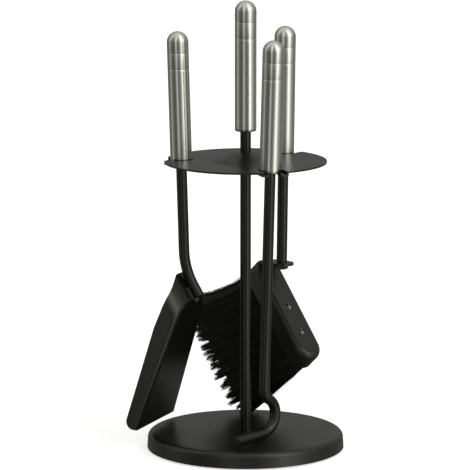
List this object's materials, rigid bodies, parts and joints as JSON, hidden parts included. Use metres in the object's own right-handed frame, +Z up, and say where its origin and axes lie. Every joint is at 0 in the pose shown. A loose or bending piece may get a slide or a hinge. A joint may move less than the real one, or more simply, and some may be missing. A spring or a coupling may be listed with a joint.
{
  "type": "fireplace tool set",
  "caption": "Free-standing fireplace tool set: a round base with a post and slotted plate holds a shovel, a brush and a poker by brushed handles.",
  "frame": {"origin": "centre of the base's underside, on the floor", "axes": "+Z up the post, -Y is the front (the poker's side), +X to the right"},
  "size_m": [0.2425, 0.2858, 0.5025],
  "materials": {
    "powder_black": "fine satin powder coat",
    "brushed_handle": "brushed",
    "zinc_fixing": "zinc plated",
    "bright_screw": "polished",
    "felt_pad": "felt",
    "block_black": "satin",
    "bristle_black": "stiff fibre"
  },
  "bodies": {
    "stand": {"base": "powder_black", "base_felt": "felt_pad", "base_screw": "zinc_fixing", "base_washer": "zinc_fixing", "lower_post": "powder_black", "post_stud": "zinc_fixing", "tool_plate": "powder_black", "upper_post": "powder_black", "stand_handle": "brushed_handle"},
    "shovel_grip": {"shovel_handle": "brushed_handle"},
    "shovel_tool": {"shovel_rod": "powder_black", "shovel_pan": "powder_black", "shovel_weld": "powder_black"},
    "brush_grip": {"brush_handle": "brushed_handle"},
    "brush_tool": {"brush_rod": "powder_black", "brush_strap": "powder_black", "brush_nut": "powder_black", "brush_screws": "bright_screw", "brush_block": "block_black", "brush_bristles": "bristle_black"},
    "poker_grip": {"poker_handle": "brushed_handle"},
    "poker_tool": {"poker_rod": "powder_black"}
  },
  "joints": [
    {"name": "shovel_take_off", "type": "slide", "parent": "stand", "child": "shovel_grip", "axis": [-0.9752, 0.1371, 0.1736], "range_m": [0, 0.15]},
    {"name": "shovel_turn", "type": "hinge", "parent": "shovel_grip", "child": "shovel_tool", "pos_m": [-0.0713, 0.01002, 0.3225], "axis": [-0.0286, 0.02, 0.9994], "range_deg": [-80, 80]},
    {"name": "brush_take_off", "type": "slide", "parent": "stand", "child": "brush_grip", "axis": [0.5719, 0.8017, 0.1736], "range_m": [0, 0.15]},
    {"name": "brush_turn", "type": "hinge", "parent": "brush_grip", "child": "brush_tool", "pos_m": [0.04239, 0.05943, 0.3225], "axis": [0.0131, 0.0324, 0.9994], "range_deg": [-90, 30]},
    {"name": "poker_take_off", "type": "slide", "parent": "stand", "child": "poker_grip", "axis": [0.3609, -0.9163, 0.1736], "range_m": [0, 0.15]},
    {"name": "poker_turn", "type": "hinge", "parent": "poker_grip", "child": "poker_tool", "pos_m": [0.02676, -0.06792, 0.3225], "axis": [0.0255, -0.0238, 0.9994], "continuous": true}
  ]
}
